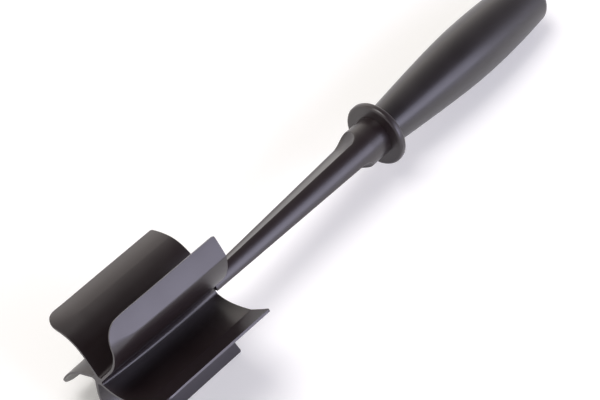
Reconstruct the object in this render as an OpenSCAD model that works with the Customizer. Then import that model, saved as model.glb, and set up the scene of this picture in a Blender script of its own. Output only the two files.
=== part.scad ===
// Meat masher: five curved blades on a tapered, fluted stem, with a hand stop and a round grip.
// Each piece is drawn on the tool's own axis, with the blades' grip-side end at height 0, and is then
// laid down as the tool rests on a worktop: on two blade edges and on the swell of the grip.

/* [Blades] */
// Number of blades round the hub
blade_count = 5; // [4:1:6]
// Distance from the axis to the middle of a blade's outer edge
blade_reach = 30; // [26:0.5:36]
// Length of the blades along the axis
blade_length = 60.5; // [45:0.5:80]
// Wall of a blade
blade_wall = 1.6; // [1.2:0.1:2.2]
// How far a blade's straight root passes beside the axis
root_offset = 1.9; // [1.2:0.1:2.6]
// Length of the straight root, from abreast of the axis to the bend
root_length = 10; // [8:0.5:12]
// Radius of the bend, to the middle of the wall
bend_radius = 16.4; // [13:0.2:19]
// Angle that a blade turns through from its root to its outer band
bend_angle = 52; // [40:1:60]
// Share of that angle in each of the two fine creases, before and after the bend
crease_angle = 4; // [2:0.5:6]
// Radius of the rounded valley between two blades
valley_radius = 3.6; // [3:0.1:4.5]
// Radius of a blade's outer corner at the chopping end
front_corner = 8; // [4:0.5:9]
// Radius of a blade's outer corner at the grip end
rear_corner = 2.5; // [1.5:0.5:5]

/* [Stem] */
// Length of the stem from the blades to the hand stop
stem_length = 101.7; // [85:0.1:120]
// Diameter of the stem at the blades
stem_thin_d = 8.6; // [7.8:0.1:9.4]
// Width across the flat sides at the blades
side_thin_w = 6.4; // [5.6:0.1:7]
// Width across the flat sides where the scoops start
side_thick_w = 9.9; // [9:0.1:11]
// Diameter of the round boss under the hand stop
boss_d = 17; // [15.5:0.1:18.5]
// Length of the round boss
boss_length = 9.7; // [7:0.1:14]
// Distance from the start of the scoops to the boss
scoop_run = 7; // [5:0.5:9]
// Radius of the scoops, seen from the side
scoop_radius = 8.4; // [7:0.1:12]
// Angle of the flat sides from level
side_angle = 36.6; // [0:0.2:90]
// Diameter of the spigot that fits the blades' hub
spigot_d = 5; // [4:0.1:5.4]
// Length of the spigot
spigot_length = 32; // [20:0.5:40]
// Diameter of the tang inside the grip
tang_d = 10; // [8:0.1:11]
// Width across the two flats that stop the tang turning
tang_flat_w = 8.4; // [7:0.1:9]
// Length of the tang behind the hand stop
tang_length = 66; // [50:0.5:70]
// Depth of the screw's pilot hole in the tang
pilot_depth = 18; // [14:0.5:24]

/* [Hand stop] */
// Diameter of the hand stop
stop_d = 27.6; // [24:0.1:34]
// Thickness of the hand stop
stop_t = 3.2; // [2.4:0.1:5]
// Rounding of its rim
stop_round = 1.1; // [0.5:0.1:1.15]

/* [Grip] */
// Length of the grip
grip_length = 103.6; // [95:0.1:125]
// Diameter of the grip at the hand stop
grip_neck_d = 16.2; // [15:0.1:19]
// Diameter of the grip at its swell
swell_d = 24.9; // [22:0.1:30]
// Distance from the hand stop to the swell
swell_at = 63.1; // [50:0.1:72]
// Roundness of the swell on the neck side
swell_round = 2.1; // [1:0.1:4]
// Diameter of the grip just before its end is rounded off
tail_d = 21.6; // [19.5:0.1:24]
// Rounding of the grip's end
tail_round = 4; // [3:0.1:4.5]
// Thickness of the wall inside the grip that the screw pulls against
seat_wall_t = 5; // [3:0.5:8]
// Diameter of the hollow behind that wall
hollow_d = 10.6; // [10:0.1:11.2]

/* [Screw, washer and plug] */
// Outer diameter of the screw's thread
screw_d = 4; // [3:0.1:4.5]
// Length of the screw under its head
screw_length = 20; // [16:0.5:24]
// Diameter of the screw's head
screw_head_d = 7.6; // [6.5:0.1:8.4]
// Height of the screw's head
screw_head_h = 2.8; // [2:0.1:3.5]
// Width across the corners of the hexagon key hole
key_d = 3.4; // [2.5:0.1:4]
// Outer diameter of the washer
washer_d = 9.6; // [8.6:0.1:9.8]
// Thickness of the washer
washer_t = 1; // [0.6:0.1:1.6]
// Diameter of the plug's visible flange
plug_d = 12.6; // [11.8:0.1:13]
// Thickness of the plug's flange
plug_t = 1.8; // [1.2:0.1:2.5]
// Length of the plug's hollow skirt
skirt_length = 9; // [6:0.5:12]
// Wall of the plug's skirt
skirt_wall = 1.4; // [1:0.1:2]

/* [Fits] */
// Clearance all round a fitted pin, tang or plug
fit_gap = 0.05; // [0.03:0.01:0.1]
// Clearance beyond the end of a spigot, tang or screw
end_gap = 0.5; // [0.3:0.1:1]

/* [Hidden] */
$fn = 96;

nylon = "#2b282c";
steel = "#b9bcc2";
// Overlap of two shapes that make one solid, and reach of a cutter past what it cuts.
bite = 0.01;
reach = 40;
// How far the blades are drawn past both ends before one cut makes each end flat.
overrun = 1;
// Depth by which a rounding crosses the faces it blends, so that no two faces only graze each other.
cross = 0.05;
// How far a straight stretch of blade laps the bend along its outer face.
lap = 0.1;

// A blade's middle line, in the plane across the axis: straight root, bend, flat outer band.
function off_centre(a) = bend_radius * [-cos(a), sin(a)];
bend_to = bend_angle - crease_angle;
bend_centre = [-root_offset, root_length] - off_centre(crease_angle);
band_start = bend_centre + off_centre(bend_to);
band_dir = [sin(bend_angle), cos(bend_angle)];
band_along = band_start * band_dir;
band_length = sqrt(pow(blade_reach, 2) - band_start * band_start + pow(band_along, 2)) - band_along;
tip = band_start + band_length * band_dir;
tip_angle = atan2(tip.y, tip.x);
pitch = 360 / blade_count;

// The hub's core fills the middle, where the blades' roots pass beside the axis.
core_d = 2 * root_offset + blade_wall;

// The valley's arc touches one blade's inner face and its neighbour's outer face, and its sides
// end part of the way through their walls.
part_way = blade_wall / 8;
inner_face = blade_wall / 2 - root_offset;
outer_face = blade_wall / 2 + root_offset;
valley_x = inner_face + valley_radius;
valley_y = (outer_face + valley_radius + valley_x * cos(pitch)) / sin(pitch);
valley_foot = valley_x * sin(pitch) + valley_y * cos(pitch);

// Lowest corner of the blades and the two side extremes, with one blade straight up.
function turned(p, a) = [p.x * cos(a) - p.y * sin(a), p.x * sin(a) + p.y * cos(a)];
half_edge = blade_wall / 2 * [band_dir.y, -band_dir.x];
corners = [for (k = [0:blade_count - 1]) for (side = [-1, 1])
    turned(tip + side * half_edge, 90 - tip_angle + k * pitch)];
drop = -min([for (c = corners) c.y]);
side_mid = (max([for (c = corners) c.x]) + min([for (c = corners) c.x])) / 2;

// Outline of the grip: a hyperbola from the neck to the swell, then a parabola to the tail.
grip_from = stem_length + stop_t;
neck_fall = (swell_d - grip_neck_d) / 2 + swell_round;
neck_slope = sqrt(neck_fall * neck_fall - swell_round * swell_round) / swell_at;
tail_from = grip_length - tail_round;
tail_fall = (swell_d - tail_d) / 2 / pow(tail_from - swell_at, 2);
function grip_r(z) = z < swell_at
    ? swell_d / 2 + swell_round - sqrt(pow(swell_round, 2) + pow(neck_slope * (z - swell_at), 2))
    : swell_d / 2 - tail_fall * pow(z - swell_at, 2);
// Points round the hand stop's rim, from its front face or its back face.
round_steps = 6;
function rim_arc(z, side) = [for (i = [0:round_steps])
    let (turn = 90 * i / round_steps, a = side < 0 ? 90 - turn : turn)
    [stop_d / 2 - stop_round * (1 - cos(a)), z - side * stop_round * (1 - sin(a))]];
neck_steps = 18;
tail_steps = 12;
end_steps = 10;
grip_outline = concat(
    [for (i = [0:neck_steps - 1]) let (z = swell_at * i / neck_steps) [grip_r(z), z]],
    [for (i = [0:tail_steps]) let (z = swell_at + (tail_from - swell_at) * i / tail_steps) [grip_r(z), z]],
    [for (i = [1:end_steps]) let (a = 90 * i / end_steps)
        [tail_d / 2 - tail_round * (1 - cos(a)), tail_from + tail_round * sin(a)]]);

// The tool lies on the lowest blade edges, just ahead of their rear corners, and on the grip.
lie_slope = atan(min([for (p = grip_outline) (drop - p.x) / (grip_from + p.y + rear_corner)]));
lie_height = drop * cos(lie_slope) - rear_corner * sin(lie_slope);
front_x = -blade_length * cos(lie_slope) - (drop - front_corner) * sin(lie_slope);
rear_x = (grip_from + tail_from) * cos(lie_slope) + (tail_d / 2 - tail_round) * sin(lie_slope) + tail_round;

// The stem, measured along the tool's axis.
boss_from = stem_length - boss_length;
scoop_from = boss_from - scoop_run;
side_tilt = atan((side_thick_w - side_thin_w) / 2 / scoop_from);

// Inside the grip, measured along the tool's axis.
tang_end = grip_from + tang_length;
seat_front = tang_end + end_gap;
seat_back = seat_front + seat_wall_t;
grip_end = grip_from + grip_length;
tang_hole_d = tang_d + 2 * fit_gap;
tang_hole_w = tang_flat_w + 2 * fit_gap;
screw_hole_d = screw_d + 2 * end_gap;
screw_from = seat_back + washer_t;

module lay() {
    translate([-(front_x + rear_x) / 2, -side_mid, lie_height])
        rotate([0, lie_slope, 0])
            rotate([90, 0, 90])
                children();
}

module bar(d, from, to) {
    translate([0, 0, from])
        cylinder(d = d, h = to - from);
}

// A round bar with two flats.
module flatted_bar(d, w, from, to) {
    intersection() {
        bar(d, from, to);
        translate([-w / 2, -d, from])
            cube([w, 2 * d, to - from]);
    }
}

// Stretches a flat outline along the blades and past both their ends.
module drawn_out() {
    translate([0, 0, -blade_length - overrun])
        linear_extrude(blade_length + 2 * overrun)
            children();
}

// A blade's three stretches; the straight ones end in a point inside the bend's wall.
module blade() {
    half = blade_wall / 2;
    drawn_out()
        translate([-root_offset, 0])
            polygon([[-half, -half], [-half, root_length + lap], [0, root_length + blade_wall],
                [half, root_length], [half, -half]]);
    drawn_out()
        translate(bend_centre)
            intersection() {
                difference() {
                    circle(r = bend_radius + half);
                    circle(r = bend_radius - half);
                }
                polygon([[0, 0],
                    2 * off_centre(crease_angle),
                    2 * off_centre(bend_angle / 2),
                    2 * off_centre(bend_to)]);
            }
    drawn_out()
        translate(band_start)
            rotate(-bend_angle)
                polygon([[-half, -lap], [-half, band_length],
                    [half, band_length], [half, 0], [0, -blade_wall]]);
}

// Fills the valley between a blade and the next one, up to a rounded bottom.
module valley() {
    drawn_out()
        difference() {
            polygon([[part_way - root_offset, 0],
                [part_way - root_offset, valley_y],
                [valley_x, valley_y],
                turned([-part_way - root_offset, valley_foot], -pitch),
                turned([-part_way - root_offset, 0], -pitch)]);
            translate([valley_x, valley_y])
                circle(r = valley_radius + cross / 2);
        }
}

// Cuts the outer corner of a blade whose end lies at height 0, leaving it round.
module corner_cut(radius) {
    translate(tip)
        rotate(-bend_angle)
            rotate([90, 0, 90])
                translate([cross - radius, cross - radius, -blade_wall])
                    linear_extrude(2 * blade_wall)
                        difference() {
                            square(radius + reach);
                            circle(r = radius);
                        }
}

module blade_head() {
    color(nylon)
        lay()
            rotate(90 - tip_angle)
                difference() {
                    intersection() {
                        union() {
                            bar(core_d, -blade_length - overrun, overrun);
                            for (k = [0:blade_count - 1])
                                rotate(k * pitch) {
                                    blade();
                                    valley();
                                }
                        }
                        bar(2 * reach, -blade_length, 0);
                    }
                    for (k = [0:blade_count - 1])
                        rotate(k * pitch) {
                            corner_cut(rear_corner);
                            translate([0, 0, -blade_length])
                                mirror([0, 0, 1])
                                    corner_cut(front_corner);
                        }
                    bar(spigot_d + 2 * fit_gap, -spigot_length - end_gap, bite);
                }
}

// Cuts one flat side of the stem, and the scoop that ends it in the boss.
module side_cut() {
    translate([side_thin_w / 2, 0, 0])
        rotate([0, side_tilt, 0])
            translate([0, -reach / 2, -bite])
                cube([reach, reach, scoop_from]);
    translate([side_thick_w / 2 + scoop_radius - cross, reach / 2, scoop_from])
        rotate([90, 0, 0])
            cylinder(r = scoop_radius, h = reach);
}

module stem() {
    color(nylon)
        lay()
            rotate(side_angle)
                difference() {
                    union() {
                        bar(spigot_d, -spigot_length, 0);
                        cylinder(d1 = stem_thin_d, d2 = boss_d, h = boss_from);
                        bar(boss_d, boss_from, stem_length);
                        flatted_bar(tang_d, tang_flat_w, stem_length, tang_end);
                    }
                    side_cut();
                    rotate(180)
                        side_cut();
                    bar(screw_d + 2 * fit_gap, tang_end - pilot_depth, tang_end + bite);
                }
}

module hand_stop() {
    color(nylon)
        lay()
            difference() {
                translate([0, 0, stem_length])
                    rotate_extrude()
                        polygon(concat([[0, 0]], rim_arc(0, -1), rim_arc(stop_t, 1), [[0, stop_t]]));
                rotate(side_angle)
                    flatted_bar(tang_hole_d, tang_hole_w, stem_length - bite, grip_from + bite);
            }
}

module grip_shell() {
    color(nylon)
        lay()
            difference() {
                translate([0, 0, grip_from])
                    rotate_extrude()
                        polygon(concat([[0, 0]], grip_outline, [[0, grip_length]]));
                rotate(side_angle)
                    flatted_bar(tang_hole_d, tang_hole_w, grip_from - bite, seat_front);
                bar(screw_hole_d, seat_front - bite, seat_back + bite);
                bar(hollow_d, seat_back, grip_end + bite);
                bar(plug_d + 2 * fit_gap, grip_end - plug_t, grip_end + bite);
            }
}

module clamp_screw() {
    color(steel)
        lay()
            difference() {
                union() {
                    bar(screw_d, screw_from - screw_length, screw_from);
                    bar(screw_head_d, screw_from, screw_from + screw_head_h);
                }
                translate([0, 0, screw_from + screw_head_h / 2])
                    cylinder(d = key_d, h = screw_head_h, $fn = 6);
            }
}

module screw_washer() {
    color(steel)
        lay()
            difference() {
                bar(washer_d, seat_back, screw_from);
                bar(screw_hole_d, seat_back - bite, screw_from + bite);
            }
}

module end_plug() {
    color(nylon)
        lay()
            difference() {
                union() {
                    bar(plug_d, grip_end - plug_t, grip_end);
                    bar(hollow_d - 2 * fit_gap, grip_end - plug_t - skirt_length, grip_end - plug_t);
                }
                bar(hollow_d - 2 * fit_gap - 2 * skirt_wall,
                    grip_end - plug_t - skirt_length - bite, grip_end - plug_t);
            }
}

blade_head();
stem();
hand_stop();
grip_shell();
clamp_screw();
screw_washer();
end_plug();
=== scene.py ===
"""Dresses the meat masher: moulded nylon blades, stem, hand stop and grip, on a pale floor in soft light.

Each moulding is modelled in millimetres on the tool's own axis, with the blades' grip-side end at height 0,
and is then laid down where the CAD frame has it.
"""

import math

import bmesh
import bpy
from bpy.props import FloatProperty, FloatVectorProperty, PointerProperty
from mathutils import Matrix, Vector


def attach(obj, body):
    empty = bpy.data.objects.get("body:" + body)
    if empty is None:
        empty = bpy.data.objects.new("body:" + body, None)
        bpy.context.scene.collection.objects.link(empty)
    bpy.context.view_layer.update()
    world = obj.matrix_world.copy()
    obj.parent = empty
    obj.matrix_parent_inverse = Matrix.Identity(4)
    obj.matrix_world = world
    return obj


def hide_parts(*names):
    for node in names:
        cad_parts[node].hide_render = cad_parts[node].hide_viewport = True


bl_info = {
    "name": "Meat masher",
    "version": (1, 0, 0),
    "blender": (4, 5, 0),
    "location": "3D View > Sidebar > Masher",
    "description": "Builds the dressed meat masher and its studio round the CAD frame",
    "category": "Add Mesh",
}

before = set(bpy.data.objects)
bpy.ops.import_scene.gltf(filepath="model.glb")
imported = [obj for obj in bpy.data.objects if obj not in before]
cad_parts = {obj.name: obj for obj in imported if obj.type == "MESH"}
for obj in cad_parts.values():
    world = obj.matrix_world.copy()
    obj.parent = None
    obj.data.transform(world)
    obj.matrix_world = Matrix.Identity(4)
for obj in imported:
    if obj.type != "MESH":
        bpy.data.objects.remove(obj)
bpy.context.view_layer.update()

FULL_TURN = math.tau
QUARTER_TURN = math.pi / 2

# In millimetres: points closer than the first are one, and so are points of a blade's section closer than
# the second. A hair tells the wall of a hole from what stands round it, and heights closer than the last are
# level.
SAME_POINT = 0.0005
SAME_SECTION_POINT = 0.01
HAIR = 0.01
LEVEL = 0.001


def mm(length):
    """A length in metres as the millimetres that the mouldings are modelled in."""
    return length * 1000.0


def linear(code):
    """An sRGB hex colour as the linear red, green and blue that a shader takes."""
    parts = [int(code[i : i + 2], 16) / 255.0 for i in (1, 3, 5)]
    return tuple(p / 12.92 if p <= 0.04045 else ((p + 0.055) / 1.055) ** 2.4 for p in parts)


# Sizes and looks


class LieSizes(bpy.types.PropertyGroup):
    """Where the tool's axis lies over the worktop."""

    blades_x: FloatProperty(
        name="Blades' grip-side end", description="Where the tool's height 0 lies along the worktop",
        default=-0.0734875, unit="LENGTH", precision=5)
    side: FloatProperty(
        name="Side", description="Sideways place of the tool's axis",
        default=0.000216709, unit="LENGTH", precision=5)
    height: FloatProperty(
        name="Height", description="Height of the tool's axis at the blades' grip-side end",
        default=0.0247666, unit="LENGTH", precision=5)
    slope: FloatProperty(
        name="Slope", description="How far the axis falls towards the grip",
        default=math.radians(3.89496), subtype="ANGLE")


class BladeSizes(bpy.types.PropertyGroup):
    """Sizes of the blade head, at its grip end and at its chopping end.

    A value for each blade starts with the top one and goes on clockwise, seen from the chopping end.
    """

    length: FloatProperty(
        name="Length", description="Length of the blades along the axis", default=0.0605, unit="LENGTH")
    reaches: FloatVectorProperty(
        name="Reaches", description="From the axis to the middle of each blade's outer edge",
        default=(0.0291, 0.0309, 0.0309, 0.0275, 0.0295), size=5, unit="LENGTH")
    wall: FloatProperty(
        name="Wall", description="Thickness of a blade's root at the grip end",
        default=0.0016, unit="LENGTH", precision=5)
    thin_wall: FloatProperty(
        name="Thin wall", description="The same at the chopping end, after the mould's draft",
        default=0.0010, unit="LENGTH", precision=5)
    edge_share: FloatProperty(
        name="Edge share", description="Share of the root's thickness that is left at the outer edge",
        default=0.62, subtype="FACTOR")
    root_offset: FloatProperty(
        name="Root offset", description="How far a blade's root passes beside the axis at the grip end",
        default=0.0015, unit="LENGTH", precision=5)
    thin_offset: FloatProperty(
        name="Thin root offset", description="The same at the chopping end",
        default=0.0010, unit="LENGTH", precision=5)
    root_turn: FloatProperty(
        name="Root turn", description="Turn of the top blade's root from upright",
        default=math.radians(23.8), subtype="ANGLE")
    root_lengths: FloatVectorProperty(
        name="Root lengths", description="From abreast of the axis to each blade's first bend",
        default=(0.01085, 0.0050, 0.0061, 0.0080, 0.0095), size=5, unit="LENGTH")
    bend_radius: FloatProperty(
        name="Bend radius", description="Radius of the first bend, to the middle of the wall",
        default=0.0180, unit="LENGTH")
    bend: FloatProperty(
        name="Bend", description="Turn of the first bend", default=math.radians(25), subtype="ANGLE")
    shoulder_radii: FloatVectorProperty(
        name="Shoulder radii", description="Radius of each blade's second bend",
        default=(0.0200, 0.0450, 0.0300, 0.0130, 0.0140), size=5, unit="LENGTH")
    shoulders: FloatVectorProperty(
        name="Shoulders", description="Turn of each blade's second bend",
        default=tuple(math.radians(turn) for turn in (17.2, 12, 14, 19, 27)), size=5, unit="ROTATION")
    creases: FloatVectorProperty(
        name="Creases", description="Turn in each blade's crease, below the outer band",
        default=tuple(math.radians(turn) for turn in (24.8, 12, 6.5, 3, 3)), size=5, unit="ROTATION")
    band_radii: FloatVectorProperty(
        name="Band radii", description="Radius of each blade's outer band",
        default=(0.090, 0.150, 0.150, 0.150, 0.030), size=5, unit="LENGTH")
    crease_width: FloatProperty(
        name="Crease width", description="Width over which a crease is rounded",
        default=0.0006, unit="LENGTH", precision=5)
    relaxed_width: FloatProperty(
        name="Relaxed crease", description="The same at the chopping end", default=0.0070, unit="LENGTH")
    relax: FloatProperty(
        name="Relax", description="Length at the chopping end over which a crease widens",
        default=0.014, unit="LENGTH")
    lean: FloatVectorProperty(
        name="Lean", description="How far the chopping end stands off the stem's axis, sideways and upwards",
        default=(0.0008, 0.0004), size=2, unit="LENGTH", precision=5)
    valley_radius: FloatProperty(
        name="Valley radius", description="Radius of the valley between two blades at the grip end",
        default=0.0025, unit="LENGTH", precision=5)
    thin_valley: FloatProperty(
        name="Thin valley radius", description="The same at the chopping end",
        default=0.0013, unit="LENGTH", precision=5)
    front_corner: FloatProperty(
        name="Front corner", description="Radius of an outer corner at the chopping end",
        default=0.0078, unit="LENGTH")
    rear_corner: FloatProperty(
        name="Rear corner", description="Radius of an outer corner at the grip end",
        default=0.0009, unit="LENGTH", precision=5)
    edge_round: FloatProperty(
        name="Edge rounding", description="Rounding of the blades' edges",
        default=0.00028, unit="LENGTH", precision=5)
    spigot_hole_d: FloatProperty(
        name="Spigot hole", description="Diameter of the hole for the stem's spigot",
        default=0.0051, unit="LENGTH")
    spigot_hole_depth: FloatProperty(
        name="Spigot hole depth", description="Depth of that hole", default=0.0325, unit="LENGTH")


class StemSizes(bpy.types.PropertyGroup):
    """Sizes of the stem."""

    length: FloatProperty(
        name="Length", description="From the blades to the hand stop", default=0.1017, unit="LENGTH")
    thin_d: FloatProperty(
        name="Thin end", description="Diameter at the blades", default=0.0086, unit="LENGTH")
    side_thin_w: FloatProperty(
        name="Width at the thin end", description="Across the flat sides at the blades",
        default=0.0064, unit="LENGTH")
    side_thick_w: FloatProperty(
        name="Width at the scoops", description="Across the flat sides where the scoops start",
        default=0.0099, unit="LENGTH")
    boss_d: FloatProperty(
        name="Boss", description="Diameter of the round boss", default=0.017, unit="LENGTH")
    boss_length: FloatProperty(
        name="Boss length", description="Length of the boss", default=0.0097, unit="LENGTH")
    scoop_run: FloatProperty(
        name="Scoop run", description="From the start of a scoop to the boss", default=0.007, unit="LENGTH")
    scoop_radius: FloatProperty(
        name="Scoop radius", description="Radius of a scoop, seen from the side",
        default=0.0084, unit="LENGTH")
    side_angle: FloatProperty(
        name="Side angle", description="Turn of the flat sides from level",
        default=math.radians(36.6), subtype="ANGLE")
    ridge_round: FloatProperty(
        name="Ridge rounding", description="Half the width over which a ridge is rounded",
        default=0.00035, unit="LENGTH", precision=5)
    dish: FloatProperty(
        name="Dish", description="How far the flat sides are hollowed",
        default=0.0007, unit="LENGTH", precision=5)
    faces: FloatProperty(
        name="Face fullness",
        description="Bulge of the two round faces at the thin end, as a share of a full round",
        default=0.6, subtype="FACTOR")
    lean: FloatVectorProperty(
        name="Lean", description="How far the thin end stands off the straight axis, sideways and upwards",
        default=(-0.0004, -0.0002), size=2, unit="LENGTH", precision=5)
    spigot_d: FloatProperty(
        name="Spigot", description="Diameter of the spigot", default=0.005, unit="LENGTH")
    spigot_length: FloatProperty(
        name="Spigot length", description="Length of the spigot", default=0.032, unit="LENGTH")
    tang_d: FloatProperty(
        name="Tang", description="Diameter of the tang", default=0.010, unit="LENGTH")
    tang_flat_w: FloatProperty(
        name="Tang flats", description="Width across the tang's flats", default=0.0084, unit="LENGTH")
    tang_length: FloatProperty(
        name="Tang length", description="Length of the tang behind the hand stop",
        default=0.066, unit="LENGTH")
    pilot_d: FloatProperty(
        name="Pilot hole", description="Diameter of the screw's pilot hole", default=0.0041, unit="LENGTH")
    pilot_depth: FloatProperty(
        name="Pilot depth", description="Depth of that hole", default=0.018, unit="LENGTH")


class GripSizes(bpy.types.PropertyGroup):
    """Sizes of the hand stop, the grip and its plug."""

    stop_d: FloatProperty(
        name="Hand stop", description="Diameter of the hand stop", default=0.0276, unit="LENGTH")
    stop_t: FloatProperty(
        name="Hand stop thickness", description="Thickness of the hand stop", default=0.0032, unit="LENGTH")
    stop_round: FloatProperty(
        name="Rim rounding", description="Rounding of the hand stop's rim", default=0.0011, unit="LENGTH")
    length: FloatProperty(
        name="Length", description="Length of the grip", default=0.1036, unit="LENGTH")
    neck_d: FloatProperty(
        name="Neck", description="Diameter at the hand stop", default=0.0162, unit="LENGTH")
    swell_d: FloatProperty(
        name="Swell", description="Largest diameter", default=0.0249, unit="LENGTH")
    swell_at: FloatProperty(
        name="Swell place", description="From the hand stop to the swell", default=0.0631, unit="LENGTH")
    swell_round: FloatProperty(
        name="Swell roundness", description="Roundness of the swell on the neck side",
        default=0.0021, unit="LENGTH")
    tail_d: FloatProperty(
        name="Tail", description="Diameter before the end is rounded off", default=0.0216, unit="LENGTH")
    tail_round: FloatProperty(
        name="Tail rounding", description="Rounding of the grip's end", default=0.004, unit="LENGTH")
    seat_wall: FloatProperty(
        name="Seat wall", description="Wall that the screw pulls against", default=0.005, unit="LENGTH")
    hollow_d: FloatProperty(
        name="Hollow", description="Diameter of the hollow behind that wall", default=0.0106, unit="LENGTH")
    screw_hole_d: FloatProperty(
        name="Screw hole", description="Diameter of the screw's clearance hole",
        default=0.005, unit="LENGTH")
    plug_d: FloatProperty(
        name="Plug", description="Diameter of the plug's flange", default=0.0126, unit="LENGTH")
    plug_t: FloatProperty(
        name="Plug flange", description="Thickness of the plug's flange", default=0.0018, unit="LENGTH")
    skirt_length: FloatProperty(
        name="Plug skirt", description="Length of the plug's skirt", default=0.009, unit="LENGTH")
    skirt_wall: FloatProperty(
        name="Skirt wall", description="Wall of the plug's skirt", default=0.0014, unit="LENGTH")
    fit_gap: FloatProperty(
        name="Fit", description="Clearance round a fitted pin, tang or plug",
        default=0.00005, unit="LENGTH", precision=5)
    end_gap: FloatProperty(
        name="End clearance", description="Clearance beyond the tang's end",
        default=0.0005, unit="LENGTH", precision=5)


class FinishLook(bpy.types.PropertyGroup):
    """Colours and gloss of the nylon and the plating."""

    head_dark: FloatVectorProperty(
        name="Head dark", description="Darker shade of the head, stem and hand stop",
        default=linear("#1c1315"), subtype="COLOR")
    head_light: FloatVectorProperty(
        name="Head light", description="Lighter shade of the head, stem and hand stop",
        default=linear("#21181a"), subtype="COLOR")
    grip_dark: FloatVectorProperty(
        name="Grip dark", description="Darker shade of the grip and plug",
        default=linear("#1b1719"), subtype="COLOR")
    grip_light: FloatVectorProperty(
        name="Grip light", description="Lighter shade of the grip and plug",
        default=linear("#201b1e"), subtype="COLOR")
    nylon_glossy: FloatProperty(
        name="Nylon, glossiest", description="Roughness of the nylon where it is glossiest",
        default=0.30, subtype="FACTOR")
    nylon_dull: FloatProperty(
        name="Nylon, dullest", description="Roughness of the nylon where it is dullest",
        default=0.36, subtype="FACTOR")
    zinc_dark: FloatVectorProperty(
        name="Zinc dark", description="Darker shade of the zinc",
        default=linear("#b4b8bd"), subtype="COLOR")
    zinc_light: FloatVectorProperty(
        name="Zinc light", description="Lighter shade of the zinc",
        default=linear("#c6c9ce"), subtype="COLOR")


class StudioLook(bpy.types.PropertyGroup):
    """Camera, floor and light."""

    lens: FloatProperty(
        name="Lens", description="Focal length of the camera", default=150.0, subtype="DISTANCE_CAMERA")
    side_power: FloatProperty(
        name="Side light", description="Power of the low softbox on the right",
        default=5.5, subtype="POWER")
    blade_power: FloatProperty(
        name="Blade light", description="Power of the softbox beside it, for the blades",
        default=2.3, subtype="POWER")
    key_power: FloatProperty(
        name="Key light", description="Power of the softbox high behind on the left",
        default=15.6, subtype="POWER")
    side_tint: FloatVectorProperty(
        name="Side tint", description="Colour of the side and blade lights",
        default=linear("#e6e4ff"), subtype="COLOR")
    key_tint: FloatVectorProperty(
        name="Key tint", description="Colour of the key light", default=linear("#fffdfa"), subtype="COLOR")
    horizon: FloatProperty(
        name="Room low", description="Strength of the room's light near the floor", default=1.25)
    ceiling: FloatProperty(
        name="Room high", description="Strength of the room's light overhead", default=0.04)
    far_wall: FloatProperty(
        name="Far wall", description="How much paler the room is behind the tool", default=1.3)
    room_near: FloatVectorProperty(
        name="Room near", description="Colour of the room before the tool",
        default=linear("#efedfb"), subtype="COLOR")
    room_far: FloatVectorProperty(
        name="Room far", description="Colour of the room behind the tool",
        default=linear("#fff8f3"), subtype="COLOR")
    backdrop: FloatVectorProperty(
        name="Backdrop", description="Colour seen past the floor",
        default=linear("#fffffb"), subtype="COLOR")
    paper: FloatVectorProperty(
        name="Paper", description="Colour of the floor's paper", default=linear("#eae9ea"), subtype="COLOR")
    floor_glow: FloatVectorProperty(
        name="Floor glow", description="Colour of the glow added to the paper",
        default=linear("#fffff6"), subtype="COLOR")
    floor_lift: FloatProperty(
        name="Floor lift", description="Glow added to the paper where it is seen or mirrored", default=0.25)


LOOKS = {
    "masher_lie": LieSizes,
    "masher_blades": BladeSizes,
    "masher_stem": StemSizes,
    "masher_grip": GripSizes,
    "masher_finish": FinishLook,
    "masher_studio": StudioLook,
}


# Shared helpers


def add_node(tree, kind, values=None, links=None):
    """Adds a node, sets its values and links outputs to its sockets.

    A key is the name of a property or socket, or a socket's number where several have the same name.
    """
    made = tree.nodes.new(kind)
    for key, value in (values or {}).items():
        if isinstance(key, str) and hasattr(made, key):
            setattr(made, key, value)
        else:
            made.inputs[key].default_value = value
    for key, source in (links or {}).items():
        tree.links.new(source, made.inputs[key])
    return made


def blank_tree(owner):
    """The owner's node tree, emptied."""
    owner.use_nodes = True
    owner.node_tree.nodes.clear()
    return owner.node_tree


def lie_matrix(lie):
    """Turns the tool's own axes into the frame's, and millimetres into metres."""
    across = Matrix(((0, 0, 1, 0), (1, 0, 0, 0), (0, 1, 0, 0), (0, 0, 0, 1)))
    place = Matrix.Translation((lie.blades_x, lie.side, lie.height))
    return place @ Matrix.Rotation(lie.slope, 4, "Y") @ across @ Matrix.Scale(0.001, 4)


def finish_piece(bm, name, node, material, turn=0.0, smooth_under=35.0):
    """Makes the modelled form an object that lies in the frame and stands for its CAD node."""
    bmesh.ops.remove_doubles(bm, verts=bm.verts, dist=SAME_POINT)
    bmesh.ops.recalc_face_normals(bm, faces=bm.faces)
    for face in bm.faces:
        face.smooth = True
    for edge in bm.edges:
        edge.smooth = edge.calc_face_angle(0.0) < math.radians(smooth_under)
    lie = lie_matrix(bpy.context.scene.masher_lie)
    bmesh.ops.transform(bm, matrix=lie @ Matrix.Rotation(turn, 4, "Z"), verts=bm.verts)
    mesh = bpy.data.meshes.new(name)
    bm.to_mesh(mesh)
    bm.free()
    mesh.materials.append(get_material(material))
    piece = bpy.data.objects.new(name, mesh)
    bpy.context.scene.collection.objects.link(piece)
    weigh = piece.modifiers.new("even shading", "WEIGHTED_NORMAL")
    weigh.keep_sharp = True
    weigh.weight = 60
    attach(piece, "root")
    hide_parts(node)


def draw_on(bm, vert, place):
    """Draws a line on from a vertex to a place, and gives back its new end."""
    new = bmesh.ops.extrude_vert_indiv(bm, verts=[vert])["verts"][0]
    bmesh.ops.translate(bm, verts=[new], vec=place - new.co)
    return new


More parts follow.
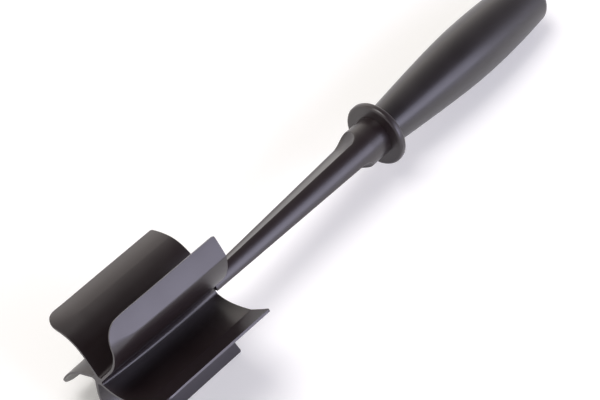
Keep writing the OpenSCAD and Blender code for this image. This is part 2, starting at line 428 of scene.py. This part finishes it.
def lathe(bm, outline, turns):
    """Draws a line through the outline's (radius, height) points and spins it round the tool's axis."""
    end = bm.verts.new((outline[0][0], 0.0, outline[0][1]))
    for radius, height in outline[1:]:
        end = draw_on(bm, end, Vector((radius, 0.0, height)))
    bmesh.ops.spin(
        bm, geom=[*bm.verts, *bm.edges], cent=(0, 0, 0), axis=(0, 0, 1), dvec=(0, 0, 0), angle=FULL_TURN,
        steps=turns, use_merge=True, use_duplicate=False)
    bmesh.ops.remove_doubles(bm, verts=bm.verts, dist=SAME_POINT)


def flatten_hole(bm, radius, flat, below=math.inf):
    """Gives a round hole two flats, as far up the axis as below says."""
    for vert in bm.verts:
        on_wall = math.hypot(vert.co.x, vert.co.y) < radius + HAIR and vert.co.z < below
        if on_wall and abs(vert.co.x) > flat:
            vert.co.x = math.copysign(flat, vert.co.x)


def stations(start, end, step):
    """Evenly spaced values from start to end, both included, about a step apart."""
    count = max(1, round(abs(end - start) / step))
    return [start + (end - start) * i / count for i in range(count + 1)]


def between(start, end, share):
    """The value that lies a share of the way from start to end."""
    return start + (end - start) * share


def eased_limit(value, limit, ease):
    """Keeps a value under a limit, turning smoothly into it over an ease each way."""
    if value <= limit - ease:
        return value
    if value >= limit + ease:
        return limit
    return value - (value - limit + ease) ** 2 / (4.0 * ease)


# Materials

# Sockets of a colour Mix node, which share their names with the sockets for other kinds of value.
MIX_FACTOR, MIX_FIRST, MIX_SECOND, MIX_RESULT = 0, 6, 7, 2
# Sockets of a Mix Shader node, whose two shaders share a name.
SHADER_FACTOR, SHADER_FIRST, SHADER_SECOND = 0, 1, 2

# Flow marks in the nylon are some 15 mm across, and the mottle of the zinc bath some 1 mm: each as the count
# per metre that a noise takes.
FLOW_MARKS_PER_M = 65.0
MOTTLE_PER_M = 900.0
# Pitch of the grain that the moulds' spark erosion leaves, drawn as it is. The grip's is a little coarser.
HEAD_GRAIN_MM = 0.25
GRIP_GRAIN_MM = 0.3


def moulded_nylon(name, dark, light, look, grain_mm):
    """Glass-filled nylon 66, injection moulded in a spark-eroded tool: near black, with a fine even grain
    that spreads highlights into soft bands, and faint cloudy flow marks in its gloss."""
    material = bpy.data.materials.new(name)
    tree = blank_tree(material)
    where = add_node(tree, "ShaderNodeTexCoord").outputs["Object"]
    clouds = add_node(
        tree, "ShaderNodeTexNoise", {"Scale": FLOW_MARKS_PER_M, "Detail": 3.0, "Roughness": 0.5},
        {"Vector": where}).outputs["Fac"]
    tint = add_node(
        tree, "ShaderNodeMix", {"data_type": "RGBA", MIX_FIRST: (*dark, 1.0), MIX_SECOND: (*light, 1.0)},
        {MIX_FACTOR: clouds})
    gloss = add_node(
        tree, "ShaderNodeMapRange",
        {"From Min": 0.3, "From Max": 0.7, "To Min": look.nylon_glossy, "To Max": look.nylon_dull},
        {"Value": clouds})
    grain = add_node(
        tree, "ShaderNodeTexNoise", {"Scale": 1000.0 / grain_mm, "Detail": 2.0, "Roughness": 0.55},
        {"Vector": where})
    relief = add_node(
        tree, "ShaderNodeBump", {"Strength": 0.12, "Distance": 0.00002}, {"Height": grain.outputs["Fac"]})
    skin = add_node(
        tree, "ShaderNodeBsdfPrincipled", {"IOR": 1.53, "Specular IOR Level": 0.7},
        {"Base Color": tint.outputs[MIX_RESULT], "Roughness": gloss.outputs["Result"],
         "Normal": relief.outputs["Normal"]})
    add_node(tree, "ShaderNodeOutputMaterial", links={"Surface": skin.outputs["BSDF"]})
    return material


def zinc_plated_steel(look):
    """Steel, bright zinc plated: pale bluish metal with a slight mottle from the bath."""
    material = bpy.data.materials.new("zinc_plated_steel")
    tree = blank_tree(material)
    where = add_node(tree, "ShaderNodeTexCoord").outputs["Object"]
    mottle = add_node(
        tree, "ShaderNodeTexNoise", {"Scale": MOTTLE_PER_M, "Detail": 3.0}, {"Vector": where}).outputs["Fac"]
    gloss = add_node(tree, "ShaderNodeMapRange", {"To Min": 0.22, "To Max": 0.38}, {"Value": mottle})
    tint = add_node(
        tree, "ShaderNodeMix",
        {"data_type": "RGBA", MIX_FIRST: (*look.zinc_dark, 1.0), MIX_SECOND: (*look.zinc_light, 1.0)},
        {MIX_FACTOR: mottle})
    skin = add_node(
        tree, "ShaderNodeBsdfPrincipled", {"Metallic": 1.0},
        {"Base Color": tint.outputs[MIX_RESULT], "Roughness": gloss.outputs["Result"]})
    add_node(tree, "ShaderNodeOutputMaterial", links={"Surface": skin.outputs["BSDF"]})
    return material


def matt_white_paper(look):
    """Matt seamless paper: it scatters evenly and shows no gloss, and is lifted to white where it is seen or
    mirrored."""
    material = bpy.data.materials.new("matt_white_paper")
    tree = blank_tree(material)
    sheet = add_node(tree, "ShaderNodeBsdfDiffuse", {"Color": (*look.paper, 1.0)}).outputs["BSDF"]
    glow = add_node(
        tree, "ShaderNodeEmission", {"Color": (*look.floor_glow, 1.0), "Strength": look.floor_lift})
    lifted = add_node(tree, "ShaderNodeAddShader", links={0: sheet, 1: glow.outputs["Emission"]})
    path = add_node(tree, "ShaderNodeLightPath")
    seen = add_node(
        tree, "ShaderNodeMath", {"operation": "MAXIMUM"},
        {0: path.outputs["Is Camera Ray"], 1: path.outputs["Is Glossy Ray"]})
    surface = add_node(
        tree, "ShaderNodeMixShader", links={
            SHADER_FACTOR: seen.outputs["Value"], SHADER_FIRST: sheet,
            SHADER_SECOND: lifted.outputs["Shader"]})
    add_node(tree, "ShaderNodeOutputMaterial", links={"Surface": surface.outputs["Shader"]})
    return material


def get_material(name):
    """The named finish, made the first time that it is asked for."""
    found = bpy.data.materials.get(name)
    look = bpy.context.scene.masher_finish
    if found:
        return found
    if name == "moulded_nylon_66":
        return moulded_nylon(name, look.head_dark, look.head_light, look, HEAD_GRAIN_MM)
    if name == "moulded_nylon_66_grip":
        return moulded_nylon(name, look.grip_dark, look.grip_light, look, GRIP_GRAIN_MM)
    if name == "zinc_plated_steel":
        return zinc_plated_steel(look)
    raise RuntimeError(f"no finish is called {name}")


# Pieces

BLADES = 5
PITCH = FULL_TURN / BLADES


class BladeLine:
    """One blade's middle line at a height, in the blade's own plane: root, two bends, a crease and a band."""

    # Points on each arc, how often the search for the band's turn halves its step, and the length in
    # millimetres that a rounded corner leaves of each arc.
    ARC_POINTS = 10
    HALVINGS = 30
    LEAST_ARC = 0.4

    def __init__(self, sizes, height, number):
        length = mm(sizes.length)
        thin = (height / length) ** 2
        near = max(0.0, 1.0 - (length + height) / mm(sizes.relax))
        near = near * near * (3.0 - 2.0 * near)
        self.half = mm(between(sizes.wall, sizes.thin_wall, thin)) / 2
        self.edge_half = self.half * sizes.edge_share
        self.offset = mm(between(sizes.root_offset, sizes.thin_offset, thin))
        self.valley = mm(between(sizes.valley_radius, sizes.thin_valley, thin * thin))

        # The crease is a tight bend, widest at the chopping end, which takes its width off its neighbours.
        width = mm(between(sizes.crease_width, sizes.relaxed_width, near)) / 2
        shoulder, band = mm(sizes.shoulder_radii[number]), mm(sizes.band_radii[number])
        crease = sizes.creases[number] + width / shoulder
        arcs = [
            [mm(sizes.bend_radius), sizes.bend],
            [shoulder, sizes.shoulders[number] - width / shoulder],
            [width / math.tan(crease / 2), crease],
        ]
        root = mm(sizes.root_lengths[number])
        self.draw(root, arcs)
        arcs.append([band, self.turn_to_reach(band, mm(sizes.reaches[number]))])

        # A rounded corner takes this much off the blade's width at this height.
        cut = 0.0
        for corner, far in ((mm(sizes.front_corner), length + height), (mm(sizes.rear_corner), -height)):
            if far < corner:
                cut += corner - math.sqrt(corner * corner - (corner - far) ** 2)
        for arc in reversed(arcs):
            taken = min(cut, max(0.0, arc[0] * arc[1] - self.LEAST_ARC))
            arc[1] -= taken / arc[0]
            cut -= taken
        self.draw(root, arcs)

    @staticmethod
    def right(heading):
        """The way to the right of a heading, where every bend of the blade has its centre."""
        return Vector((math.cos(heading), -math.sin(heading), 0.0))

    def draw(self, root, arcs):
        """Draws the root and the arcs after it, as points that each come with the way to the inner face."""
        self.heading = 0.0
        self.end = Vector((-self.offset, root, 0.0))
        self.points = [(self.end, self.right(0.0))]
        for radius, turn in arcs:
            centre = self.end + radius * self.right(self.heading)
            for i in range(1, self.ARC_POINTS + 1):
                way = self.right(self.heading + turn * i / self.ARC_POINTS)
                self.points.append((centre - radius * way, way))
            self.heading += turn
            self.end = self.points[-1][0]

    def turn_to_reach(self, radius, reach):
        """The turn of one more arc that ends at the reach from the axis."""
        centre = self.end + radius * self.right(self.heading)
        low, high = 0.0, 1.0
        for _ in range(self.HALVINGS):
            turn = (low + high) / 2
            out = (centre - radius * self.right(self.heading + turn)).length
            low, high = (turn, high) if out < reach else (low, turn)
        return turn

    def face(self, side):
        """The points of the inner (side 1) or outer (side -1) face, from the first bend to the outer edge."""
        found, run, last = [], 0.0, self.points[0][0]
        whole = sum((b[0] - a[0]).length for a, b in zip(self.points, self.points[1:]))
        for point, way in self.points:
            run += (point - last).length
            last = point
            half = self.half + (self.edge_half - self.half) * run / whole
            found.append(point + side * half * way)
        return found


class MASHER_OT_blade_head(bpy.types.Operator):
    """Models the blade head: five curved blades on a small hub, drawn as star-shaped sections and joined"""

    bl_idname = "masher.blade_head"
    bl_label = "Blade head"

    # Edges sharper than this are rounded.
    HARD_EDGE = math.radians(50)

    @staticmethod
    def section_heights(sizes):
        """Heights 4 mm apart along the blades, and close together where the corners are rounded."""
        length, rear, front = mm(sizes.length), mm(sizes.rear_corner), mm(sizes.front_corner)
        heights = [-rear * (1.0 - math.cos(angle)) for angle in stations(0.0, QUARTER_TURN, math.pi / 12)]
        heights += stations(-rear - 1.0, -length + front + 0.5, 4.0)
        heights += [
            front * (1.0 - math.cos(angle)) - length for angle in stations(QUARTER_TURN, 0.0, math.pi / 24)]
        return heights

    @staticmethod
    def section(bm, sizes, height):
        """Draws the section at a height as one closed line and gives back its edges."""
        part = bmesh.new()
        blades = [BladeLine(sizes, height, number) for number in range(BLADES)]
        for number, blade in enumerate(blades):
            # Down this blade's inner face, round the valley and out along the outer face of the one before.
            before, valley = blades[number - 1], blade.valley
            turn = Matrix.Rotation(number * PITCH, 3, "Z")
            back = Matrix.Rotation((number - 1) * PITCH, 3, "Z")
            x = blade.half - blade.offset + valley
            y = (blade.half + blade.offset + valley + x * math.cos(PITCH)) / math.sin(PITCH)
            inner = [turn @ point for point in reversed(blade.face(1))]
            inner.append(turn @ Vector((blade.half - blade.offset, y, 0.0)))
            end = part.verts.new(inner[0])
            for place in inner[1:]:
                end = draw_on(part, end, place)
            made = bmesh.ops.spin(
                part, geom=[end], cent=turn @ Vector((x, y, 0.0)), axis=(0, 0, 1), dvec=(0, 0, 0),
                angle=math.pi - PITCH, steps=14, use_duplicate=False)
            end = next(found for found in made["geom_last"] if isinstance(found, bmesh.types.BMVert))
            for place in [*before.face(-1), before.face(1)[-1]]:
                end = draw_on(part, end, back @ place)
        bmesh.ops.remove_doubles(part, verts=part.verts, dist=SAME_SECTION_POINT)
        bmesh.ops.translate(part, verts=part.verts, vec=(0, 0, height))
        shape = bpy.data.meshes.new("section")
        part.to_mesh(shape)
        part.free()
        known = set(bm.edges)
        bm.from_mesh(shape)
        bpy.data.meshes.remove(shape)
        return [edge for edge in bm.edges if edge not in known]

    @staticmethod
    def bore(bm, radius, depth):
        """Sinks a round hole into the end face on the grip side."""
        end_face = max((face for face in bm.faces if face.normal.z > 0.9), key=lambda face: face.calc_area())
        outline = list(end_face.edges)
        bmesh.ops.delete(bm, geom=[end_face], context="FACES_ONLY")
        hole = bmesh.ops.create_circle(bm, cap_ends=False, radius=radius, segments=48)["verts"]
        mouth = list({edge for vert in hole for edge in vert.link_edges})
        bmesh.ops.triangle_fill(bm, edges=outline + mouth, use_beauty=True, use_dissolve=False)
        deep = bmesh.ops.extrude_edge_only(bm, edges=mouth)["geom"]
        deep_verts = [made for made in deep if isinstance(made, bmesh.types.BMVert)]
        bmesh.ops.translate(bm, verts=deep_verts, vec=(0, 0, -depth))
        bmesh.ops.contextual_create(bm, geom=[made for made in deep if isinstance(made, bmesh.types.BMEdge)])

    def execute(self, context):
        sizes = context.scene.masher_blades
        bm = bmesh.new()
        rings = [self.section(bm, sizes, height) for height in self.section_heights(sizes)]
        for ring, following in zip(rings, rings[1:]):
            bmesh.ops.bridge_loops(bm, edges=ring + following)
        for ring in (rings[0], rings[-1]):
            bmesh.ops.contextual_create(bm, geom=ring)
        bmesh.ops.recalc_face_normals(bm, faces=bm.faces)

        # The rounded edges all round both ends and along the tips.
        bm.normal_update()
        bmesh.ops.bevel(
            bm, geom=[edge for edge in bm.edges if edge.calc_face_angle(0.0) > self.HARD_EDGE],
            offset=mm(sizes.edge_round), offset_type="OFFSET", affect="EDGES", segments=3, profile=0.5,
            material=-1, clamp_overlap=True)

        # Turned to the blades' true places, and leaning away from the stem's axis.
        bmesh.ops.rotate(bm, verts=bm.verts, cent=(0, 0, 0), matrix=Matrix.Rotation(sizes.root_turn, 3, "Z"))
        for vert in bm.verts:
            vert.co.xy -= Vector(sizes.lean) * 1000.0 * vert.co.z / mm(sizes.length)

        self.bore(bm, mm(sizes.spigot_hole_d) / 2, mm(sizes.spigot_hole_depth))
        finish_piece(
            bm, "blade_head_moulding", "blade_head", "moulded_nylon_66", smooth_under=40.0)
        return {"FINISHED"}


class MASHER_OT_stem(bpy.types.Operator):
    """Models the stem: a lathed taper pressed flat on two sides, with a scoop up to the round boss"""

    bl_idname = "masher.stem"
    bl_label = "Stem"

    def execute(self, context):
        sizes = context.scene.masher_stem
        length = mm(sizes.length)
        boss_from = length - mm(sizes.boss_length)
        scoop_from = boss_from - mm(sizes.scoop_run)
        thin, boss = mm(sizes.thin_d) / 2, mm(sizes.boss_d) / 2
        scoop = mm(sizes.scoop_radius)
        spigot, tang, pilot = mm(sizes.spigot_d) / 2, mm(sizes.tang_d) / 2, mm(sizes.pilot_d) / 2
        tang_end = length + mm(context.scene.masher_grip.stop_t) + mm(sizes.tang_length)

        def radius(height):
            """The round form: a cone up to the boss, and the boss."""
            return between(thin, boss, min(1.0, height / boss_from))

        def flat(height):
            """Half the width across the two sides, or None where the form stays round."""
            if height > length:
                return mm(sizes.tang_flat_w) / 2
            if height < 0.0 or height > scoop_from + scoop:
                return None
            half = between(mm(sizes.side_thin_w), mm(sizes.side_thick_w), min(1.0, height / scoop_from)) / 2
            past = max(0.0, height - scoop_from)
            return half + scoop - math.sqrt(scoop * scoop - past * past)

        def press(vert, limit, across):
            """Moves a vertex of the flat sides in, hollows them, and takes fullness off the round faces."""
            pressed = eased_limit(abs(vert.co.x), limit, mm(sizes.ridge_round))
            if vert.co.z < length:
                half_chord = math.sqrt(max(across * across - limit * limit, 0.01))
                if abs(vert.co.x) > limit:
                    pressed -= mm(sizes.dish) * (1.0 - min(1.0, abs(vert.co.y) / half_chord) ** 4)
                # The thinner the stem, the flatter are its two round faces.
                fullness = between(sizes.faces, 1.0, min(1.0, vert.co.z / scoop_from))
                corner = half_chord + 0.5 * (1.0 - fullness) * (across - half_chord)
                if abs(vert.co.y) > half_chord:
                    vert.co.y = math.copysign(corner + fullness * (abs(vert.co.y) - half_chord), vert.co.y)
                else:
                    vert.co.y *= corner / half_chord
            vert.co.x = math.copysign(pressed, vert.co.x)

        # Rings stand close together over the scoops.
        heights = stations(0.0, scoop_from - 2.0, 1.2) + stations(scoop_from - 1.8, boss_from + 1.5, 0.12)
        heights += stations(boss_from + 2.0, length, 0.8)
        outline = [(0.0, -mm(sizes.spigot_length)), (spigot, -mm(sizes.spigot_length)), (spigot, 0.0)]
        outline += [(radius(height), height) for height in heights]
        outline += [(tang, length), (tang, length + LEVEL), (tang, tang_end), (pilot, tang_end)]
        outline += [(pilot, tang_end - mm(sizes.pilot_depth)), (0.0, tang_end - mm(sizes.pilot_depth))]
        bm = bmesh.new()
        lathe(bm, outline, 240)
        for vert in bm.verts:
            limit = flat(vert.co.z)
            across = math.hypot(vert.co.x, vert.co.y)
            on_spigot = across < spigot + HAIR and vert.co.z < LEVEL
            if limit is not None and across >= limit and not on_spigot:
                press(vert, limit, across)

        bmesh.ops.rotate(bm, verts=bm.verts, cent=(0, 0, 0), matrix=Matrix.Rotation(sizes.side_angle, 3, "Z"))
        for vert in bm.verts:
            if -LEVEL < vert.co.z < length and vert.co.xy.length > spigot + HAIR:
                vert.co.xy += Vector(sizes.lean) * 1000.0 * (1.0 - vert.co.z / length)
        finish_piece(bm, "stem_moulding", "stem", "moulded_nylon_66", smooth_under=40.0)
        return {"FINISHED"}


class MASHER_OT_hand_stop(bpy.types.Operator):
    """Models the hand stop: a lathed disc with a rounded rim and a hole for the tang"""

    bl_idname = "masher.hand_stop"
    bl_label = "Hand stop"

    def execute(self, context):
        sizes = context.scene.masher_grip
        stem = context.scene.masher_stem
        start, end = mm(stem.length), mm(stem.length) + mm(sizes.stop_t)
        rim, soft = mm(sizes.stop_d) / 2, mm(sizes.stop_round)
        hole = mm(stem.tang_d) / 2 + mm(sizes.fit_gap)
        angles = [QUARTER_TURN * i / 8 for i in range(9)]
        outline = [(hole, start)]
        for turn in angles:
            outline.append((rim - soft * (1 - math.sin(turn)), start + soft * (1 - math.cos(turn))))
        for turn in angles:
            outline.append((rim - soft * (1 - math.cos(turn)), end - soft * (1 - math.sin(turn))))
        outline += [(hole, end), (hole, start)]
        bm = bmesh.new()
        lathe(bm, outline, 160)
        flatten_hole(bm, hole, mm(stem.tang_flat_w) / 2 + mm(sizes.fit_gap))
        finish_piece(
            bm, "hand_stop_disc", "hand_stop", "moulded_nylon_66", turn=stem.side_angle)
        return {"FINISHED"}


class MASHER_OT_grip(bpy.types.Operator):
    """Models the grip and its end plug: lathed forms, hollow where the screw goes in"""

    bl_idname = "masher.grip"
    bl_label = "Grip and plug"

    @staticmethod
    def grip_outline(sizes, start, tang_hole, seat_front):
        """The grip's outer line from the neck to the tail, and its hollows back to the neck."""
        end = start + mm(sizes.length)
        swell, neck, swell_at = mm(sizes.swell_d) / 2, mm(sizes.neck_d) / 2, mm(sizes.swell_at)
        soft, tail, tail_soft = mm(sizes.swell_round), mm(sizes.tail_d) / 2, mm(sizes.tail_round)
        fall = swell - neck + soft
        slope = math.sqrt(fall * fall - soft * soft) / swell_at
        tail_from = mm(sizes.length) - tail_soft
        tail_fall = (swell - tail) / (tail_from - swell_at) ** 2

        def radius(height):
            """A hyperbola rises from the neck to the swell, and a parabola falls from it to the tail."""
            if height < swell_at:
                return swell + soft - math.hypot(soft, slope * (height - swell_at))
            return swell - tail_fall * (height - swell_at) ** 2

        recess, hollow = mm(sizes.plug_d) / 2 + mm(sizes.fit_gap), mm(sizes.hollow_d) / 2
        screw_hole = mm(sizes.screw_hole_d) / 2
        recess_floor = end - mm(sizes.plug_t)
        seat_back = seat_front + mm(sizes.seat_wall)
        # The neck's edge is rounded by a quarter of a millimetre.
        outline = [(tang_hole, start), (neck - 0.25, start)]
        outline += [(neck - 0.08, start + 0.07), (neck, start + 0.25)]
        outline += [(radius(height), start + height) for height in stations(1.0, tail_from, 1.0)]
        for angle in stations(0.0, QUARTER_TURN, QUARTER_TURN / 12)[1:]:
            outline.append((
                tail - tail_soft * (1 - math.cos(angle)), start + tail_from + tail_soft * math.sin(angle)))
        # The recess has a small chamfer, and the plug sits on its floor.
        outline += [(recess + 0.2, end), (recess, end - 0.15), (recess, recess_floor), (hollow, recess_floor)]
        outline += [(hollow, seat_back), (screw_hole, seat_back), (screw_hole, seat_front)]
        return outline + [(tang_hole, seat_front), (tang_hole, start)]

    @staticmethod
    def plug_outline(sizes, end):
        """The plug: a flange with a slightly crowned face, and a skirt that goes up the hollow."""
        flange, floor = mm(sizes.plug_d) / 2, end - mm(sizes.plug_t)
        skirt = mm(sizes.hollow_d) / 2 - mm(sizes.fit_gap)
        bore = skirt - mm(sizes.skirt_wall)
        skirt_end = floor - mm(sizes.skirt_length)
        outline = [(0.0, end - 0.15), (flange - 0.9, end - 0.12)]
        outline += [(flange - 0.25, end - 0.06), (flange, end - 0.3)]
        outline += [(flange, floor), (skirt, floor), (skirt, skirt_end + 0.4), (skirt - 0.4, skirt_end)]
        return outline + [(bore, skirt_end), (bore, floor), (0.0, floor)]

    def execute(self, context):
        sizes = context.scene.masher_grip
        stem = context.scene.masher_stem
        start = mm(stem.length) + mm(sizes.stop_t)
        tang_hole = mm(stem.tang_d) / 2 + mm(sizes.fit_gap)
        seat_front = start + mm(stem.tang_length) + mm(sizes.end_gap)
        bm = bmesh.new()
        lathe(bm, self.grip_outline(sizes, start, tang_hole, seat_front), 160)
        flatten_hole(bm, tang_hole, mm(stem.tang_flat_w) / 2 + mm(sizes.fit_gap), below=seat_front + HAIR)
        finish_piece(
            bm, "grip_moulding", "grip_shell", "moulded_nylon_66_grip", turn=stem.side_angle)

        bm = bmesh.new()
        lathe(bm, self.plug_outline(sizes, start + mm(sizes.length)), 96)
        finish_piece(bm, "end_plug_moulding", "end_plug", "moulded_nylon_66_grip")
        return {"FINISHED"}


class MASHER_OT_fastening(bpy.types.Operator):
    """Gives the screw and washer inside the grip their zinc plating"""

    bl_idname = "masher.fastening"
    bl_label = "Screw and washer"

    def execute(self, context):
        plated = get_material("zinc_plated_steel")
        for name in ("clamp_screw", "screw_washer"):
            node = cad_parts[name]
            if node.data.materials:
                for slot in node.material_slots:
                    slot.material = plated
            else:
                node.data.materials.append(plated)
        return {"FINISHED"}


# Studio

# The camera's place, and the ways to the right and up in its picture, fitted to the photograph's edges.
CAMERA_PLACE = (-0.490631, -0.331291, 0.790491)
CAMERA_RIGHT = (0.629388, -0.775348, 0.052022)
CAMERA_UP = (0.602069, 0.528864, 0.598176)
SENSOR_WIDTH = 36.0
# Half the width of the floor's paper, in metres.
FLOOR_REACH = 6.0


class MASHER_OT_studio(bpy.types.Operator):
    """Lays the pale floor and sets the soft lights and the camera"""

    bl_idname = "masher.studio"
    bl_label = "Studio"

    @staticmethod
    def lay_floor(scene, look):
        bm = bmesh.new()
        bmesh.ops.create_grid(bm, x_segments=2, y_segments=2, size=FLOOR_REACH)
        mesh = bpy.data.meshes.new("worktop")
        bm.to_mesh(mesh)
        bm.free()
        mesh.materials.append(matt_white_paper(look))
        floor = bpy.data.objects.new("worktop", mesh)
        scene.collection.objects.link(floor)

    @staticmethod
    def light_room(scene, look):
        """The room is pale near the floor and dark overhead, warmer behind the tool and cooler before it."""
        scene.world = bpy.data.worlds.new("studio")
        tree = blank_tree(scene.world)
        where = add_node(tree, "ShaderNodeTexCoord").outputs["Generated"]
        aim = add_node(tree, "ShaderNodeSeparateXYZ", links={"Vector": where})
        fade = add_node(
            tree, "ShaderNodeMapRange",
            {"From Min": 0.1, "From Max": 0.82, "To Min": look.horizon, "To Max": look.ceiling},
            {"Value": aim.outputs["Z"]})
        across = add_node(
            tree, "ShaderNodeMapRange", {"From Min": -0.7, "From Max": 0.7}, {"Value": aim.outputs["Y"]})
        tint = add_node(
            tree, "ShaderNodeMix",
            {"data_type": "RGBA", MIX_FIRST: (*look.room_near, 1.0), MIX_SECOND: (*look.room_far, 1.0)},
            {MIX_FACTOR: across.outputs["Result"]})
        wall = add_node(
            tree, "ShaderNodeMapRange",
            {"From Min": -0.2, "From Max": 0.6, "To Min": 1.0, "To Max": look.far_wall},
            {"Value": aim.outputs["Y"]})
        level = add_node(
            tree, "ShaderNodeMath", {"operation": "MULTIPLY"},
            {0: fade.outputs["Result"], 1: wall.outputs["Result"]})
        room = add_node(
            tree, "ShaderNodeBackground",
            links={"Color": tint.outputs[MIX_RESULT], "Strength": level.outputs["Value"]})
        backdrop = add_node(tree, "ShaderNodeBackground", {"Color": (*look.backdrop, 1.0), "Strength": 1.0})
        path = add_node(tree, "ShaderNodeLightPath")
        surface = add_node(
            tree, "ShaderNodeMixShader", links={
                SHADER_FACTOR: path.outputs["Is Camera Ray"], SHADER_FIRST: room.outputs["Background"],
                SHADER_SECOND: backdrop.outputs["Background"]})
        add_node(tree, "ShaderNodeOutputWorld", links={"Surface": surface.outputs["Shader"]})

    @staticmethod
    def hang_softbox(scene, name, place, aim, size, power, tint):
        """Hangs a rectangular lamp at a place, turned to what it lights."""
        light = bpy.data.lights.new(name, "AREA")
        light.shape = "RECTANGLE"
        light.size, light.size_y = size
        light.energy = power
        light.color = tint
        lamp = bpy.data.objects.new(name, light)
        lamp.matrix_world = Matrix.Translation(place) @ (
            Vector(aim) - Vector(place)).to_track_quat("-Z", "Y").to_matrix().to_4x4()
        scene.collection.objects.link(lamp)

    @staticmethod
    def set_camera(scene, look):
        camera = bpy.data.objects.new("camera", bpy.data.cameras.new("camera"))
        camera.data.lens = look.lens
        camera.data.sensor_width = SENSOR_WIDTH
        right, up = Vector(CAMERA_RIGHT), Vector(CAMERA_UP)
        turn = Matrix((right, up, right.cross(up))).transposed().to_4x4()
        camera.matrix_world = Matrix.Translation(CAMERA_PLACE) @ turn
        scene.collection.objects.link(camera)
        scene.camera = camera

    def execute(self, context):
        scene = context.scene
        look = scene.masher_studio
        scene.view_settings.view_transform = "Standard"
        self.lay_floor(scene, look)
        self.light_room(scene, look)
        self.hang_softbox(
            scene, "side_softbox", (0.29, -0.92, 0.51), (0.0, 0.0, 0.02), (1.02, 0.64), look.side_power,
            look.side_tint)
        self.hang_softbox(
            scene, "blade_softbox", (0.10, -0.93, 0.47), (-0.1, 0.0, 0.02), (0.65, 0.5), look.blade_power,
            look.side_tint)
        self.hang_softbox(
            scene, "key_softbox", (-0.25, 0.55, 1.38), (0.0, 0.0, 0.0), (0.98, 0.85), look.key_power,
            look.key_tint)
        self.set_camera(scene, look)
        return {"FINISHED"}


# Sidebar and registering

# The operators in the order in which they are called.
OPERATORS = (
    MASHER_OT_studio,
    MASHER_OT_blade_head,
    MASHER_OT_stem,
    MASHER_OT_hand_stop,
    MASHER_OT_grip,
    MASHER_OT_fastening,
)


class MASHER_PT_panel(bpy.types.Panel):
    """Lists the masher's pieces and sizes in the sidebar"""

    bl_idname = "MASHER_PT_panel"
    bl_label = "Meat masher"
    bl_space_type = "VIEW_3D"
    bl_region_type = "UI"
    bl_category = "Masher"

    def draw(self, context):
        for operator in OPERATORS:
            self.layout.operator(operator.bl_idname)
        for name, look in LOOKS.items():
            box = self.layout.box()
            for prop in look.__annotations__:
                box.prop(getattr(context.scene, name), prop)


def register():
    for name, look in LOOKS.items():
        bpy.utils.register_class(look)
        setattr(bpy.types.Scene, name, PointerProperty(type=look))
    for shown in (*OPERATORS, MASHER_PT_panel):
        bpy.utils.register_class(shown)


def unregister():
    for shown in (MASHER_PT_panel, *reversed(OPERATORS)):
        bpy.utils.unregister_class(shown)
    for name, look in LOOKS.items():
        delattr(bpy.types.Scene, name)
        bpy.utils.unregister_class(look)


def main():
    """Builds the studio and every piece."""
    register()
    for operator in OPERATORS:
        group, name = operator.bl_idname.split(".")
        getattr(getattr(bpy.ops, group), name)()


if __name__ == "__main__":
    main()
